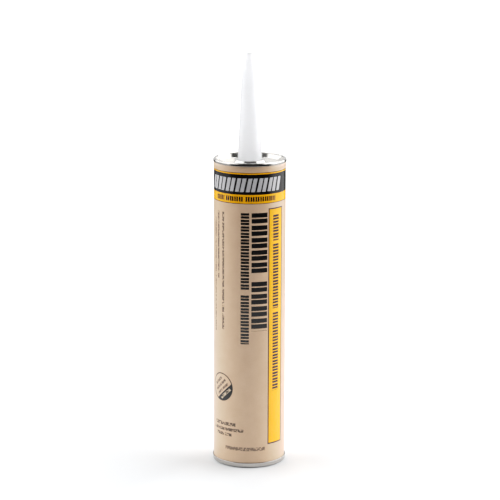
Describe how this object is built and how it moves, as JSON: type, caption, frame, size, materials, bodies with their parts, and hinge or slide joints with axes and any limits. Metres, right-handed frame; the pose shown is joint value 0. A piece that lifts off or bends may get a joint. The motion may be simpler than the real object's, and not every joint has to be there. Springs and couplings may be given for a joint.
{
  "type": "construction adhesive cartridge",
  "caption": "Round fibreboard cartridge of construction adhesive with a printed paper wrap, a seamed tinplate end, a closed plastic nozzle and a sliding plunger.",
  "frame": {"origin": "centre of the foot, on the cartridge's axis, in the plane that it stands on", "axes": "+Z along the axis from the rear ring to the nozzle's tip; the printed face looks along -Y"},
  "size_m": [0.0514, 0.0514, 0.2894],
  "materials": {
    "fibreboard": "raw kraft board with a foil-lined bore",
    "printed_paper": "satin coated paper with yellow and black print",
    "tinplate": "bright tinned steel sheet",
    "polyethylene": "natural white low-density polyethylene, moulded, satin",
    "foil": "bright foil",
    "paste": "smooth tan paste"
  },
  "bodies": {
    "barrel": {"tube": "fibreboard", "label": "printed_paper", "top_end": "tinplate", "nozzle": "polyethylene", "nozzle_seal": "foil", "bottom_ring": "tinplate", "adhesive": "paste"},
    "plunger": {"plunger": "tinplate"}
  },
  "joints": [
    {"name": "plunger_slide", "type": "slide", "parent": "barrel", "child": "plunger", "axis": [0, 0, 1], "range_m": [0, 0.168], "deforming": ["adhesive"]}
  ]
}
